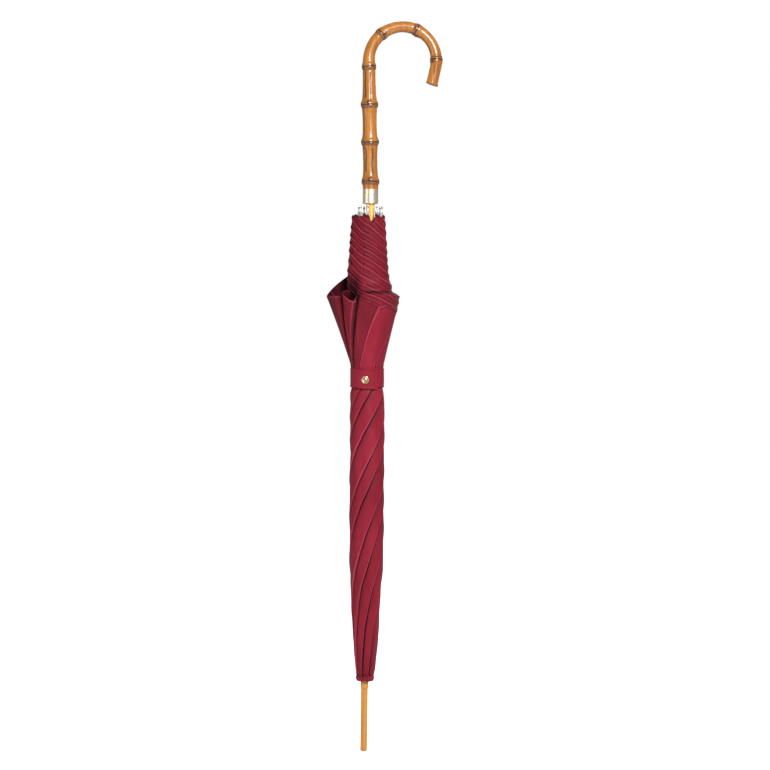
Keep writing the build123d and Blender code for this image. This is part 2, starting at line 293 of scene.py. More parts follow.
def wood_paint(name, dark, mid, light, gloss=0.22):
    """Varnished straight-grained wood."""
    paint = Paint(name, gloss)
    grain = paint.noise(420, (1, 1, 0.03), 4, 0.6)
    broad = paint.noise(60, (1, 1, 0.12), 3)
    tone = paint.ramp(grain, [(0.3, srgb(*dark)), (0.5, srgb(*mid)), (0.72, srgb(*light))])
    paint.colour(paint.mix(paint.math("MULTIPLY", broad, 0.5), tone, srgb(*mid)))
    paint.rough(grain, gloss * 0.8, gloss * 1.5)
    paint.bump(grain, 0.0001, 0.25)
    paint.set("Coat Weight", 0.6)
    paint.set("Coat Roughness", 0.1)
    return paint.material


def bamboo_paint():
    """Golden varnished whangee: brown at nodes, knots and grooves, streaked along its length, with painted
    shade along both sides.
    """
    paint = Paint("bamboo_cane", 0.25)
    streak = paint.noise(300, (1, 1, 0.05), 4, 0.6)
    cloud = paint.noise(45, (1, 1, 0.5), 4)
    tone = paint.ramp(streak, [
        (0.28, srgb(122, 60, 10)), (0.5, srgb(164, 100, 26)), (0.75, srgb(190, 130, 50)),
    ])
    tone = paint.mix(paint.math("MULTIPLY", cloud, 0.55), tone, srgb(172, 106, 30))
    # The marks attribute holds the dark nodes, knots and grooves, and painted shade along both sides of the
    # cane.
    marks = paint.attribute("marks")
    tone = paint.mix(marks, tone, srgb(52, 24, 18))
    paint.colour(tone)
    paint.rough(cloud, 0.26, 0.42)
    paint.bump(paint.math("SUBTRACT", streak, marks), 0.0002, 0.35)
    paint.set("Coat Weight", 0.4)
    paint.set("Coat Roughness", 0.2)
    return paint.material


def metal_paint(name, colour, roughness, variation=0.15, metal=1.0):
    """Brushed or plated metal with faint drawing marks and tarnish."""
    paint = Paint(name, roughness, metal)
    marks = paint.noise(700, (1, 1, 0.06), 3)
    tarnish = paint.noise(90, (1, 1, 1), 4)
    low = tuple(v * (1 - 2 * variation) for v in colour)
    paint.colour(paint.ramp(tarnish, [(0.3, low), (0.6, colour)]))
    paint.rough(marks, roughness * 0.8, roughness * 1.4)
    paint.bump(marks, 0.00005, 0.2)
    return paint.material


PAINTS = {}


def make_paints():
    PAINTS["cloth"] = cloth_paint("canopy_satin")
    PAINTS["strap"] = cloth_paint("strap_satin", 0.92)
    PAINTS["shaft"] = wood_paint("shaft_maple", (190, 128, 40), (240, 190, 96), (252, 222, 150), 0.18)
    PAINTS["ferrule"] = wood_paint("ferrule_beech", (172, 96, 14), (198, 130, 30), (216, 160, 58))
    PAINTS["bamboo"] = bamboo_paint()
    PAINTS["brass"] = metal_paint("champagne_brass", srgb(252, 236, 208), 0.32, 0.03)
    PAINTS["snap"] = metal_paint("snap_brass", srgb(196, 188, 158), 0.28)
    PAINTS["copper"] = metal_paint("snap_centre", srgb(226, 160, 126), 0.35)
    PAINTS["silver"] = metal_paint("tip_nickel", srgb(236, 234, 226), 0.3, 0.05, 0.55)
    PAINTS["steel"] = metal_paint("rib_steel", srgb(214, 214, 212), 0.35, 0.05, 0.6)
    PAINTS["spring"] = metal_paint("spring_steel", srgb(150, 150, 156), 0.28)
    PAINTS["frame"] = metal_paint("runner_nickel", srgb(196, 196, 196), 0.26)


# ---- mesh helpers ----
def mesh_object(name, points, faces, paint):
    """A smooth mesh in the scene, from points in millimetres."""
    data = bpy.data.meshes.new(name)
    data.from_pydata([tuple(p) for p in np.asarray(points, float) * MM], [], faces)
    data.polygons.foreach_set("use_smooth", [True] * len(data.polygons))
    data.materials.append(PAINTS[paint])
    data.update()
    made = bpy.data.objects.new(name, data)
    bpy.context.scene.collection.objects.link(made)
    return made


def grid_faces(rows, columns, closed=False):
    """Quads of a grid whose points are stored row by row; closed joins the last column to the first."""
    faces = []
    for r in range(rows - 1):
        for c in range(columns - (0 if closed else 1)):
            d = (c + 1) % columns
            low, high = r * columns, (r + 1) * columns
            faces.append((low + c, low + d, high + d, high + c))
    return faces


def end_faces(rows, columns):
    """Faces that close the first and the last ring of a tube."""
    last = (rows - 1) * columns
    return [tuple(reversed(range(columns))), tuple(range(last, last + columns))]


def smoothstep(value, low, high):
    share = np.clip((value - low) / (high - low), 0.0, 1.0)
    return share * share * (3 - 2 * share)


def bell(value, width, power=2):
    """1 at zero, falling off on both sides within about a width."""
    return np.exp(-(value / width) ** power)


def curve(points):
    """A function through (position, value) pairs, straight between them."""
    at, values = zip(*points)
    return lambda position: np.interp(position, at, values)


def turned(azimuth, other):
    """Signed degrees from one azimuth to another, from -180 to 180."""
    return (azimuth - other + 180.0) % 360.0 - 180.0


def set_point_values(piece, name, values):
    layer = piece.data.attributes.new(name, "FLOAT", "POINT")
    layer.data.foreach_set("value", np.asarray(values, np.float32).ravel())


def set_blend(piece, weights):
    """Where a blended piece goes from its first body (0) to its second (1), point by point."""
    layer = piece.data.attributes["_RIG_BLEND"]
    layer.data.foreach_set("value", np.asarray(weights, np.float32).ravel())


# ---- the furled canopy ----
CROWN_Z = 92.0                     # the ribs' pivots
CLOTH_LOW = 91.5
STRAP_TOP = 468.5
PETAL_LOW = 474.0                  # the loose cloth starts to flare here
HEM_TOP = 657.0
HEM_STEP = 5.3                     # height from one wound hem to the next
HEM_STARTS = 2                     # hems that a gore's width drops by
NOTCH_AZIMUTH = -75.0              # the cloth's top edge parts here and shows the shaft
HOLLOW_AZIMUTH = -178.0            # the loose cloth stands off from the core most here

centre_shift = curve([(86, 0.6), (180, 0.5), (300, 0.0), (430, -0.8), (470, -1.6), (640, -2.2)])
body_radius = curve([
    (86, 10.0), (104, 12.4), (138, 14.9), (155, 16.0), (189, 18.6), (222, 20.5), (285, 21.2),
    (425, 21.1), (438, 20.6), (445, 19.4), (470, 19.4), (476, 20.7),
])
core_radius = curve([
    (470, 18.0), (520, 21.0), (560, 24.2), (587, 24.6), (601, 23.2), (616, 22.4), (630, 21.5),
    (645, 20.4), (653, 19.6), (659, 18.2),
])
core_flare = curve([
    (541, 13.2), (549, 13.9), (557, 14.6), (559.5, 11.0), (562, 6.4), (565, 4.5), (571, 4.0),
    (575, 2.5), (579, 1.0), (586, 0.0),
])
twist = curve([                    # azimuth of the first body fold against height
    (86, -348.0), (110, -345.0), (150, -332.0), (200, -302.0), (266, -242.0), (300, -203.0),
    (344, -146.0), (390, -81.0), (430, -16.0), (476, 60.0),
])
FOLDS = [90.5, 46.5, -19.5, -79.5, -122.5, -167.5, -209.5]    # azimuths of the folds beside the first
fold_depth = curve([(86, 1.0), (100, 3.4), (150, 3.8), (190, 3.0), (250, 2.5), (430, 2.4), (476, 0.6)])
rim_height = curve([               # height of the loose hem against azimuth
    (-180, 558), (-176, 557), (-160, 556), (-145, 556), (-141, 564), (-137, 559), (-131, 554),
    (-124, 551), (-116, 549), (-114, 562), (-100, 556), (-70, 544), (-62, 543.5), (-52, 546.5),
    (-30, 544), (0, 541), (20, 542), (40, 553), (60, 564), (100, 578), (125, 586), (150, 574),
    (180, 558),
])
rim_radius = curve([
    (-180, 50.0), (-174, 51.0), (-150, 45.0), (-120, 38.0), (-90, 35.5), (-45, 36.0), (-10, 36.4),
    (10, 36.2), (60, 35.0), (110, 34.0), (150, 42.0), (180, 50.0),
])
PETAL_FOLDS = {                    # azimuth at the strap, degrees turned by the hem, and its bend
    "gap": (-168.0, 23.0, 0.5), "edge": (-151.0, 36.0, 0.8),
    "ridge": (-112.0, 47.0, 0.85), "second": (-64.0, 62.0, 0.7),
}


def rib_face(z):
    """Distance from the shaft axis to where the cloth is sewn along a rib."""
    return 8 + 6.4 * (z - CROWN_Z) / 575.5 + 1.7


def fold_profile(phase):
    """Depth of cloth just past a fold, from 1 in the crease to 0 at the next fold."""
    crease = np.exp(-phase / 0.055) + smoothstep(phase, 0.97, 1.0)
    return 0.62 * crease + 0.38 * (1 - phase) ** 1.4 - 0.16 * bell(phase - 0.94, 0.03)


def body_phase(azimuth, z):
    """Share of the way from one body fold to the next, and how deep that fold is."""
    lead = np.sort(np.array(FOLDS))
    place = (azimuth - twist(z) - lead[0]) % 360.0
    starts = lead - lead[0]
    stops = np.append(starts[1:], 360.0)
    phase = np.zeros_like(place)
    deep = np.ones_like(place)
    for number, (start, stop) in enumerate(zip(starts, stops)):
        inside = (place >= start) & (place < stop)
        phase = np.where(inside, (place - start) / (stop - start), phase)
        deep = np.where(inside, 1.0 + 0.25 * math.sin(number * 2.4 + 0.6), deep)
    return phase, deep


def body_surface(azimuth, z):
    """Radius of the wound cloth from the crown to the strap."""
    phase, deep = body_phase(azimuth, z)
    ripple = 0.16 * np.sin(np.radians(azimuth * 5 + z * 3.1)) + 0.1 * np.sin(z * 0.21 + azimuth * 0.05)
    return body_radius(z) - fold_depth(z) * deep * fold_profile(phase) + ripple


def hollow(azimuth):
    """1 where the loose cloth stands off from the core, 0 where they meet."""
    return 1 - smoothstep(np.abs(turned(azimuth, HOLLOW_AZIMUTH)), 48.0, 78.0)


def hem_warp(azimuth, z):
    """Unevenness of the wound hems, in hem steps."""
    turn = np.radians(azimuth)
    return 0.2 * np.sin(2 * turn + 0.8) + 0.12 * np.sin(5 * turn + 2.0) + 0.3 * np.sin(z * 0.12 + turn)


def hem_line(number, share, azimuth):
    """Height of a wound hem, which drops steadily across each gore."""
    level = HEM_TOP - HEM_STEP * (number + HEM_STARTS * share)
    return level + HEM_STEP * hem_warp(azimuth, level)


def top_edge(azimuth, share):
    """Height of the outermost cloth at the rib tips: shallow scallops and one deep notch."""
    notch = np.clip(1 - np.abs(turned(azimuth, NOTCH_AZIMUTH)) / 11.0, 0, 1)
    scallop = 1.6 * np.cos(2 * math.pi * share) - 1.0 * np.sin(6 * math.pi * share)
    return 654.6 + scallop - 10.0 * notch


def hem_phase(azimuth, z, share):
    """Number of the wound hem just above a point, and the share of the way down to the next."""
    line = (HEM_TOP - z) / HEM_STEP - HEM_STARTS * share + hem_warp(azimuth, z)
    line = line - 0.13 * (1 - np.cos(math.pi * line))
    return np.floor(line), line - np.floor(line)


def core_surface(azimuth, z, share):
    """Radius of the hems wound round the rib ends, stepping in above each one."""
    number, phase = hem_phase(azimuth, z, share)
    pair = (number % 2 + phase) / 2
    saw = 0.8 - 1.5 * pair ** 0.8 + 0.8 * (0.5 - phase) + 0.25 * bell(phase - 0.14, 0.08)
    flare = core_flare(z) * (1 - hollow(azimuth)) * (z > 500)
    return core_radius(z) + flare + saw * smoothstep(z, 516, 534)


def petal_place(azimuth, z, most):
    """A point of the loose cloth: its azimuth, its rise to the hem, and degrees past each fold."""
    turn = turned(azimuth, 0.0)
    rise = np.clip((z - PETAL_LOW) / (rim_height(turn) - PETAL_LOW), 0.0, most)
    past = {name: turned(turn, at + by * rise ** bend) for name, (at, by, bend) in PETAL_FOLDS.items()}
    return turn, rise, past


def petal_surface(azimuth, z):
    """Radius of the loose cloth that flares from the strap to its free hem."""
    turn, rise, past = petal_place(azimuth, z, 1.15)
    radius = 20.5 + (rim_radius(turn) - 20.5) * (0.08 * rise * rise + 0.92 * rise)
    radius = radius - 17.0 * rise * bell(past["gap"], 2.4 + 2.6 * rise, 4)
    step = np.clip(past["edge"] / 20.0, 0.0, 1.0)
    radius = radius - (1.4 + 5.6 * rise) * np.where(past["edge"] > 0, (1 - step) ** 2, 0.0)
    radius = radius + 0.9 * bell(past["ridge"], 2.2) - 0.9 * bell(past["ridge"] + 4.2, 3.0)
    radius = radius + 0.7 * bell(past["second"], 2.4) - 1.0 * bell(past["second"] - 5.0, 4.0)
    behind = sum(bell(turned(turn, at), 5.0) for at in (28.0, 70.0, 118.0))
    return radius - 2.4 * rise * behind


def petal_painted_light(azimuth, z):
    """Painted shade in the creases, the hollow and under the hems, and painted highlights on the fold edges,
    ridges and hems of the loose cloth.
    """
    turn, rise, past = petal_place(azimuth, z, 1.0)
    below = rim_height(turn) - z
    # Painted shade: the cloth left of the ridge fold is darker, and so is the back of the flare near its
    # rim.
    shade = 0.06 + 0.3 * (1 - smoothstep(past["ridge"], -4.0, 2.0))
    shade = shade + 0.5 * bell(turned(turn, 150.0), 50.0, 4) * smoothstep(rise, 0.5, 0.9)
    # Painted shade in the gap, in the shadow right of the edge fold, beside the two ridges, in the hollow
    # and under the hems.
    dark = np.maximum.reduce([
        shade,
        bell(past["gap"], 3.0 + 3.4 * rise, 4),
        bell(past["edge"] - 3.6 - 2.0 * rise, 3.8 + 3.4 * rise, 4),
        0.5 * bell(past["ridge"] + 3.6, 2.6),
        0.45 * bell(past["second"] - 4.5, 3.2),
        0.8 * smoothstep(z, 553.5, 557.0) * bell(turned(turn, -128.0), 24.0, 4),
        0.6 * bell(below - 3.4, 0.9),
    ])
    # Painted highlights on the edge fold, the two ridges and the hems.
    light = np.maximum.reduce([
        0.5 * bell(past["edge"] + 2.2, 1.0),
        0.7 * bell(past["ridge"], 1.1),
        0.6 * bell(past["second"], 1.3),
        (0.5 - 0.32 * hollow(azimuth)) * bell(below - 1.2, 0.8),
    ])
    return dark, light


def show_painted_light(azimuth, z):
    """Painted shade and painted highlights of the outer face: the wound body below the strap, the petals
    above.
    """
    phase, _ = body_phase(azimuth, z)
    body = 1 - smoothstep(z, STRAP_TOP - 4, STRAP_TOP + 4)
    low = 1 - smoothstep(z, 100, 190)
    # Painted shade in each body fold's crease and just past it.
    crease = (bell(phase - 0.03, 0.05 + 0.1 * low) + 0.46 * np.exp(-phase / 0.34)) * body
    # Painted shade at the foot of the cloth, where it meets the ruffle.
    crease = crease + 0.6 * (1 - smoothstep(z, 91, 97))
    faint = 0.55 + 0.25 * np.sin(z * 0.043 + azimuth * 0.02)
    # Painted highlight along each fold's edge.
    ridge = bell(phase - 0.955, 0.03) * body * faint
    dark, light = petal_painted_light(azimuth, z)
    return crease + dark * (1 - body), ridge + light * (1 - body)


def core_painted_light(azimuth, z, share):
    """Painted highlights on the wound hems' lips, and painted shade in the steps between them, inside the
    hollow, on the shelf atop the flare and along the top edge.
    """
    number, phase = hem_phase(azimuth, z, share)
    core = smoothstep(z, 530, 538)
    patch = np.sin(z * 0.19 + azimuth * 0.052) * np.sin(z * 0.043 - azimuth * 0.031 + 1.0)
    patch = 0.58 + 0.42 * patch
    # Painted highlight on each hem's lip.
    light = bell(phase - 0.17, 0.08) * np.where(number % 2 == 0, 0.62, 0.3) * patch
    # Painted shade in the step above each hem and below each lip.
    dark = bell(phase - 0.92, 0.12) * (0.45 + 0.55 * patch) + 0.6 * bell(phase - 0.46, 0.15)
    # Painted shade inside the hollow.
    inside = 0.95 * hollow(azimuth) * (1 - smoothstep(z, 560, 592))
    # Painted shade on the upward-facing shelf at the top of the flare.
    ledge = 0.7 * bell(z - 560.5, 2.6) * (1 - hollow(azimuth))
    # Painted shade along the cloth's top edge.
    lip = 0.4 * smoothstep(z, 650.5, 653.5)
    return dark * core + inside + ledge + lip, light * core * (1 - 0.7 * inside)


UP_LAYERS = 12                     # layers between rib and show face, ending at the left of a sector
DOWN_LAYERS = 4
SHOW_COLUMNS = 60
WOUND_COLUMNS = {6: 34, 8: 26, 10: 26}
HIDDEN_COLUMNS = 3
WOUND_HEMS = {6: "top", 8: 6.0, 10: 12.0}   # up layers whose hems show on the cone
DOWN_HEMS = ["inside rim", 9.0, 6.0, 3.0, 0.6]
INNER_HEM = 0.6                    # hem number of the layers nearest the rib
ROWS_BODY = 240
ROWS_FLARE = 22                    # coarse rows just above the strap
ROWS_HEMS = 132                    # fine rows where the wound hems are
FLARE_SHARE = 0.4                  # how far up the coarse rows reach


def layer_table():
    """The path of a gore's cloth: for each layer its depth, direction, hems and columns."""
    layers = []
    for k in range(UP_LAYERS):
        right = k % 2 == 0
        depth = (k + 1 if right else k - 1) / (UP_LAYERS + 1)
        if k in WOUND_HEMS:
            start = stop = WOUND_HEMS[k]
        elif k > min(WOUND_HEMS):
            start = WOUND_HEMS[k - 1]
            stop = WOUND_HEMS.get(k + 1, "inside rim")
        else:
            start = INNER_HEM
            stop = "top" if k + 1 in WOUND_HEMS else INNER_HEM
        layers.append(dict(kind="up", number=k, depth=depth, right=right, start=start, stop=stop,
                           columns=WOUND_COLUMNS.get(k, HIDDEN_COLUMNS)))
    layers.append(dict(kind="show", number=UP_LAYERS, depth=1.0, right=True, start="rim", stop="rim",
                       columns=SHOW_COLUMNS))
    for k in range(DOWN_LAYERS):
        depth = (9.5 - 2.4 * k) / (UP_LAYERS + 1)
        layers.append(dict(kind="down", number=k, depth=depth, right=k % 2 == 1,
                           start=DOWN_HEMS[k], stop=DOWN_HEMS[k + 1], columns=HIDDEN_COLUMNS))
    return layers


def layer_steps(layer):
    """Places of a layer's columns along it, with one close to each fold so that the fold is sharp."""
    count = layer["columns"]
    if count < 5:
        return np.linspace(0, 1, count)
    return np.concatenate([[0.0], np.linspace(0.012, 0.988, count - 2), [1.0]])


def hem_height(hem, layer, azimuth, share):
    """Height of a layer's edge, from the name or the number of its hem."""
    rim = float(rim_height(turned(azimuth, 0.0)))
    top = float(top_edge(azimuth, share))
    if hem == "rim":
        return rim
    if hem == "inside rim":
        return rim - 4 - 30 * float(hollow(azimuth))
    if hem == "top":
        return top
    if layer["kind"] == "up" and hem in WOUND_HEMS.values():
        return float(hem_line(hem, share, azimuth))
    return min(HEM_TOP - HEM_STEP * hem, top - 0.6)


def column_heights(layer, hem_z):
    """Heights down a column: even rows to the strap, then coarse and fine rows to the hem."""
    body = np.linspace(0, 1, ROWS_BODY, endpoint=False)
    flare = np.linspace(0, FLARE_SHARE, ROWS_FLARE, endpoint=False)
    top = np.concatenate([flare, np.linspace(FLARE_SHARE, 1, ROWS_HEMS)])
    level = max(hem_z, HEM_TOP - 2.4) if layer["start"] == "top" else hem_z
    wound = CLOTH_LOW + (STRAP_TOP - CLOTH_LOW) * body
    z = np.concatenate([wound, STRAP_TOP + (level - STRAP_TOP) * top])
    return z - (level - hem_z) * smoothstep(z, level - 18.0, level)


def outer_radius(azimuth, z):
    """Radius of the furled umbrella's outer face, below the strap and above it."""
    join = smoothstep(z, STRAP_TOP - 12, STRAP_TOP + 8)
    return body_surface(azimuth, np.minimum(z, 476.0)) * (1 - join) + petal_surface(azimuth, z) * join


def show_radius(azimuth, z, hem_z):
    """Radius of the show layer, with the hem's seam and its rolled lip."""
    radius = outer_radius(azimuth, z) + 0.35 * bell(z - hem_z + 2.6, 0.7)
    return radius - 0.5 * smoothstep(z, hem_z - 2.4, hem_z)


def inner_radius(layer, azimuth, z, spread, rim, cover):
    """Radius of a hidden layer, which comes out onto the core where its wound hem shows."""
    inner = rib_face(z)
    show = outer_radius(azimuth, z)
    core = core_surface(azimuth, z, spread)
    lift = smoothstep(z, STRAP_TOP - 4, STRAP_TOP + 30)
    roof = (show - 0.55) * (1 - lift) + np.minimum(core, show - 0.8) * lift
    roof = np.where(z > rim, core, roof)
    radius = inner + np.maximum(roof - inner, 0.4) * layer["depth"]
    if layer["kind"] == "up" and layer["number"] in WOUND_HEMS:
        shown = smoothstep(z, cover - 4.0, cover - 0.3)
        return radius * (1 - shown) + core * shown
    if layer["kind"] == "down" or layer["number"] > min(WOUND_HEMS):
        near = smoothstep(z, 560, 600)
        return radius * (1 - near) + (inner + (core - 1.6 - inner) * 0.9 * layer["depth"]) * near
    return radius


def gore_column(layer, step, left):
    """One column of a gore's points, with the painted shade and painted highlights of the cloth at each."""
    share = 0.001 + 0.998 * (step if layer["right"] else 1 - step)
    azimuth_top = left + SECTOR * share
    start, stop = (hem_height(layer[end], layer, azimuth_top, share) for end in ("start", "stop"))
    hem_z = start + (stop - start) * step
    z = column_heights(layer, hem_z)
    narrow = np.clip((z - CLOTH_LOW) / 290.0, 0.03, 1.0)
    if layer["kind"] == "show":
        spread = np.full_like(z, share)
    elif layer["kind"] == "up":
        spread = share * narrow
    else:
        spread = 1 - (1 - share) * narrow
    azimuth = left + SECTOR * spread
    if layer["kind"] == "show":
        radius = show_radius(azimuth, z, hem_z)
        dark, light = show_painted_light(azimuth, z)
    else:
        rim = hem_height("rim", layer, azimuth_top, share)
        following = WOUND_HEMS.get(layer["number"] + 2, "rim")
        cover = hem_height(following, layer, azimuth_top, share)
        radius = inner_radius(layer, azimuth, z, spread, rim, cover)
        dark, light = core_painted_light(azimuth, z, spread)
    turn = np.radians(azimuth)
    x = radius * np.cos(turn) + centre_shift(z) * smoothstep(radius, 9.0, 14.0)
    return np.stack([x, radius * np.sin(turn), z], axis=1), dark, light


def gore_mesh(gore):
    """One gore, folded: out from its rib in layers, across the show face, and back to the next rib."""
    left = FIRST_RIB + SECTOR * (gore - 1)
    columns = [gore_column(layer, step, left) for layer in layer_table() for step in layer_steps(layer)]
    points, darks, lights = (np.stack(parts, axis=1) for parts in zip(*columns))
    for c, spot in ((0, left), (len(columns) - 1, left + SECTOR)):
        sewn = rib_face(points[:, c, 2])
        points[:, c, 0] = sewn * math.cos(math.radians(spot))
        points[:, c, 1] = sewn * math.sin(math.radians(spot))
    return points, darks, lights


def make_gore(gore):
    points, darks, lights = gore_mesh(gore)
    rows, columns = points.shape[:2]
    piece = mesh_object(f"canopy_gore_{gore}", points.reshape(-1, 3), grid_faces(rows, columns), "cloth")
    length = np.linalg.norm(np.diff(points[:, :, :2], axis=1), axis=2)
    along = np.concatenate([np.zeros((rows, 1)), np.cumsum(length, axis=1)], axis=1)
    turn = math.radians(FIRST_RIB + SECTOR * gore)
    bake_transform(piece, f"rib_{gore}", f"gore_{gore}",
             start=(0, 0, 0), end=(math.cos(turn), math.sin(turn), 0))
    set_blend(piece, along / along[:, -1:])
    # Painted light for the cloth: the crease attribute holds painted shade, the ridge attribute painted
    # highlights.
    set_point_values(piece, "crease", np.clip(darks, 0, 1))
    set_point_values(piece, "ridge", np.clip(lights, 0, 1))
    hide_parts(f"gore_{gore}")


# ---- bamboo crook ----
STEM_FOOT = 673.0                  # the cane starts inside the brass collar
BRASS_TOP = 687.5
CROOK_CENTRE = (37.3, 846.0)       # x and z
CROOK_R = 41.3
CROOK_END = -12.0                  # degrees round the bend where the straight tail starts
CROOK_TAIL = 20.5
CANE_STEP = 0.7
STEM_NODES = [9.5, 57.5, 103.5, 150.0]      # distances above the brass
BEND_NODES = [129.0, 66.0, 2.0]             # degrees round the bend
# a knot: node and past it, degrees round from the front, half length, half width, height
CANE_KNOTS = [
    (0, 2.5, 0, 2.6, 13, 0.5), (2, 2.8, -10, 2.2, 12, 0.5), (1, -1.6, 20, 0.8, 6, 0.0),
    (1, -1.6, -5, 0.8, 5, 0.0), (1, -1.6, -32, 0.8, 6, 0.0), (3, 1.5, 25, 1.2, 8, 0.2),
    (4, 3.0, 20, 1.8, 14, 0.5), (5, 4.0, 70, 4.0, 26, 1.3), (6, 3.0, 35, 2.4, 16, 0.6),
    (2, 2.0, 170, 2.4, 12, 0.5), (3, 2.0, 185, 2.2, 12, 0.5), (0, 1.8, 150, 2.0, 10, 0.4),
    (4, 2.0, 190, 2.0, 14, 0.4), (6, 2.0, 215, 2.0, 14, 0.4), (1, 2.0, 95, 2.0, 11, 0.4),
]
# a groove: from node and past it, to node and past it, degrees round, half width, darkness
CANE_GROOVES = [
    (0, 9, 1, -4, -36, 8.0, 0.95),
    (0, 6, 1, -5, 20, 8.0, 0.9),
    (2, 5, 3, -2, -36, 9.0, 0.95),
    (2, 3, 3, -5, 14, 5.0, 0.8),
    (1, 5, 2, -3, -5, 2.0, 0.35),
    (1, 4, 2, -9, 150, 5.0, 0.6),
    (6, 5, 6, 22, 10, 9.0, 0.45),
    (6, 4, 6, 16, -30, 8.0, 0.4),
    (5, 6, 6, -5, 60, 5.0, 0.5),
    (0, 6, 1, -6, 200, 5.0, 0.6),
]


def crook_path():
    """Points, tangents and distances along the cane's centre line, with the distances of its nodes."""
    reach = math.hypot(CROOK_CENTRE[0], CROOK_CENTRE[1] - BRASS_TOP)
    rise = math.sqrt(reach**2 - CROOK_R**2)
    lean = math.atan2(CROOK_CENTRE[1] - BRASS_TOP, CROOK_CENTRE[0]) + math.asin(CROOK_R / reach)
    first = 90 + math.degrees(lean)
    foot = BRASS_TOP - STEM_FOOT
    bend_length = math.radians(first - CROOK_END) * CROOK_R
    total = foot + rise + bend_length + CROOK_TAIL
    at = np.linspace(0, total, int(total / CANE_STEP))
    stem = np.minimum(at, foot + rise) - foot
    turn = math.radians(first) - np.clip(at - foot - rise, 0, bend_length) / CROOK_R
    tail = np.maximum(at - foot - rise - bend_length, 0)
    bent = at >= foot + rise
    along_x = np.where(bent, np.sin(turn), math.cos(lean))
    along_z = np.where(bent, -np.cos(turn), math.sin(lean))
    bend_x = CROOK_CENTRE[0] + CROOK_R * np.cos(turn)
    bend_z = CROOK_CENTRE[1] + CROOK_R * np.sin(turn)
    x = np.where(bent, bend_x + along_x * tail, math.cos(lean) * stem)
    z = np.where(bent, bend_z + along_z * tail, BRASS_TOP + math.sin(lean) * stem)
    flat = np.zeros_like(at)
    nodes = [foot + d for d in STEM_NODES]
    nodes += [foot + rise + math.radians(first - d) * CROOK_R for d in BEND_NODES]
    return np.stack([x, flat, z], axis=1), np.stack([along_x, flat, along_z], axis=1), at, nodes


def node_relief(where, spread, nodes):
    """Swellings, grooves and dark rings at the nodes, and the waist between each two."""
    lift, marks = 0.0, 0.0
    for number, node in enumerate(nodes):
        near = where - node + 0.5 * np.sin(np.radians(spread * 2 + 60 * number))
        size = 1.15 if number < 4 else 0.8
        lift = lift + size * bell(near, 2.6) - 0.55 * bell(near, 0.55)
        lift = lift + (1.1 if number < 3 else 0.3) * bell(near, 7.0)
        lift = lift + 0.45 * size * bell(near - 3.4, 1.6) - 0.3 * bell(near + 4.6, 1.4)
        marks = marks + 0.95 * bell(near, 0.8) + 0.45 * bell(near + 3.2, 1.0)
        marks = marks + 0.3 * bell(near + 1.0, 4.0)
    for node, following in zip(nodes, nodes[1:]):
        share = np.clip((where - node) / (following - node), 0, 1)
        lift = lift - 0.3 * np.sin(math.pi * share) ** 2
    return lift, marks


def knot_relief(where, spread, nodes):
    """Knots where roots and twigs were cut off."""
    lift, marks = 0.0, 0.0
    for node, beyond, degrees, half, width, height in CANE_KNOTS:
        away = ((where - nodes[node] - beyond) / half) ** 2 + (turned(spread, degrees) / width) ** 2
        lift = lift + height * np.exp(-away / 1.6)
        marks = marks + 0.95 * np.exp(-away * 0.9)
    return lift, marks


def groove_relief(where, spread, nodes):
    """Dark wavering grooves along the cane."""
    lift, marks = 0.0, 0.0
    for first, after, last, before, degrees, width, dark in CANE_GROOVES:
        start, stop = nodes[first] + after, nodes[last] + before
        run = smoothstep(where, start, start + 5) * (1 - smoothstep(where, stop - 5, stop))
        line = bell(turned(spread, degrees + 3 * np.sin(where * 0.25)), width) * run
        lift = lift - 0.28 * line
        marks = marks + dark * line
    return lift, marks


def make_handle():
    points, tangents, at, nodes = crook_path()
    around = np.radians(np.arange(0, 360, 5.0))
    spread = np.degrees(around)[None, :]
    where = at[:, None]
    thickness = curve([
        (0, 8.8), (15, 9.1), (75, 9.0), (115, 8.9), (140, 8.4), (165, 7.7), (200, 7.1), (270, 6.9),
        (310, 7.0), (330, 7.0), (at[-1] - 9, 6.5), (at[-1], 7.8),
    ])
    radius = np.repeat(thickness(at)[:, None], len(around), axis=1)
    from_side = np.abs(turned(spread, 0))
    # Painted shade: the cane is darker on both sides, away from its front and back.
    marks = 0.32 * smoothstep(np.minimum(from_side, 180 - from_side), 55, 90)
    for relief in (node_relief, knot_relief, groove_relief):
        lift, dark = relief(where, spread, nodes)
        radius = radius + lift
        marks = marks + dark
    in_brass = where < BRASS_TOP - STEM_FOOT - 1.0
    radius = np.where(in_brass, np.minimum(radius, 8.8), radius)
    right = np.stack([tangents[:, 2], np.zeros(len(at)), -tangents[:, 0]], axis=1)
    front = np.array([0.0, -1.0, 0.0])
    outward = np.cos(around)[None, :, None] * front + np.sin(around)[None, :, None] * right[:, None, :]
    rings = points[:, None, :] + radius[..., None] * outward
    rings[-1] += tangents[-1] * (-0.12 * radius[-1][:, None] * np.sin(around)[:, None])
    middle = rings[-1].mean(0)
    cap = []
    for share, beyond in ((0.93, 0.5), (0.5, 0.4), (0.06, 0.2)):
        cap.append(rings[-1] * share + middle * (1 - share) + tangents[-1] * beyond)
    rings = np.concatenate([rings, np.stack(cap)])
    marks = np.concatenate([marks, np.full((len(cap), len(around)), 0.35)])
    rows, columns = rings.shape[:2]
    faces = grid_faces(rows, columns, closed=True) + end_faces(rows, columns)
    piece = mesh_object("bamboo_crook", rings.reshape(-1, 3), faces, "bamboo")
    set_point_values(piece, "marks", np.clip(marks, 0, 1))
    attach(piece, "shaft")
    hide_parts("handle")


